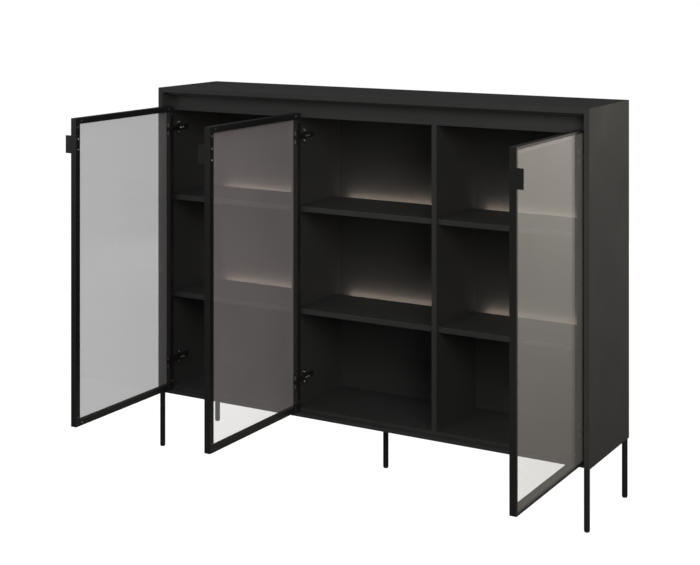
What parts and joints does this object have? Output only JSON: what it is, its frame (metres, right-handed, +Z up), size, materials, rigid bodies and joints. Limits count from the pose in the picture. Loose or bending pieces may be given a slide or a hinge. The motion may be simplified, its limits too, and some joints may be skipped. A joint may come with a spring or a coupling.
{
  "type": "media cabinet",
  "caption": "Low wide matt black media cabinet on thin round legs, with black-framed tinted glass doors that stand open, shelves lit from behind and flag-shaped pulls.",
  "frame": {"origin": "on the floor, at the centre of the middle foot", "axes": "+X to the right seen from the front, +Y to the back, +Z up; the doors are open at 90 degrees in the rest pose"},
  "size_m": [1.5, 0.7861, 1.182],
  "materials": {
    "black_laminate": "matte black melamine",
    "black_frame_paint": "satin black",
    "black_leg_paint": "satin black",
    "black_aluminium": "black anodised",
    "key_aluminium": "mill finish",
    "dark_nickel": "dark nickel plated",
    "zinc_steel": "zinc plated",
    "black_plastic": "matte",
    "light_diffuser": "opal",
    "beech": "bare",
    "clear_glass": "tinted",
    "grey_glass": "tinted"
  },
  "bodies": {
    "carcass": {"top_panel": "black_laminate", "top_strip": "black_laminate", "left_side": "black_laminate", "right_side": "black_laminate", "bottom_panel": "black_laminate", "left_divider": "black_laminate", "right_divider": "black_laminate", "fascia": "black_laminate", "back_left": "black_laminate", "back_middle": "black_laminate", "back_right": "black_laminate", "shelf_left_upper": "black_laminate", "shelf_left_lower": "black_laminate", "shelf_middle_upper": "black_laminate", "shelf_middle_lower": "black_laminate", "shelf_right_upper": "black_laminate", "shelf_right_lower": "black_laminate", "shelf_pins": "zinc_steel", "led_profiles": "black_aluminium", "led_diffusers": "light_diffuser", "dowels": "beech", "leg_front_left": "black_leg_paint", "leg_front_right": "black_leg_paint", "leg_back_left": "black_leg_paint", "leg_back_right": "black_leg_paint", "leg_middle": "black_leg_paint", "leg_glides": "black_plastic", "leg_studs": "zinc_steel", "left_hinge_arms": "dark_nickel", "middle_hinge_arms": "dark_nickel", "right_hinge_arms": "dark_nickel", "hinge_pins": "zinc_steel", "hinge_screws": "zinc_steel"},
    "left_door": {"left_door_top_rail": "black_frame_paint", "left_door_bottom_rail": "black_frame_paint", "left_door_hinge_stile": "black_frame_paint", "left_door_free_stile": "black_frame_paint", "left_door_glass": "grey_glass", "left_door_handle": "black_frame_paint", "left_door_hinge_cups": "dark_nickel", "left_door_corner_keys": "key_aluminium", "left_door_screws": "zinc_steel"},
    "middle_door": {"middle_door_top_rail": "black_frame_paint", "middle_door_bottom_rail": "black_frame_paint", "middle_door_hinge_stile": "black_frame_paint", "middle_door_free_stile": "black_frame_paint", "middle_door_glass": "clear_glass", "middle_door_handle": "black_frame_paint", "middle_door_hinge_cups": "dark_nickel", "middle_door_corner_keys": "key_aluminium", "middle_door_screws": "zinc_steel"},
    "right_door": {"right_door_top_rail": "black_frame_paint", "right_door_bottom_rail": "black_frame_paint", "right_door_hinge_stile": "black_frame_paint", "right_door_free_stile": "black_frame_paint", "right_door_glass": "clear_glass", "right_door_handle": "black_frame_paint", "right_door_hinge_cups": "dark_nickel", "right_door_corner_keys": "key_aluminium", "right_door_screws": "zinc_steel"}
  },
  "joints": [
    {"name": "left_door_hinge", "type": "hinge", "parent": "carcass", "child": "left_door", "pos_m": [-0.7225, -0.1708, 0.66225], "axis": [0, 0, -1], "range_deg": [-90, 5]},
    {"name": "middle_door_hinge", "type": "hinge", "parent": "carcass", "child": "middle_door", "pos_m": [-0.2305, -0.1708, 0.66225], "axis": [0, 0, -1], "range_deg": [-90, 5]},
    {"name": "right_door_hinge", "type": "hinge", "parent": "carcass", "child": "right_door", "pos_m": [0.7225, -0.1708, 0.66225], "axis": [0, 0, 1], "range_deg": [-90, 5]}
  ]
}
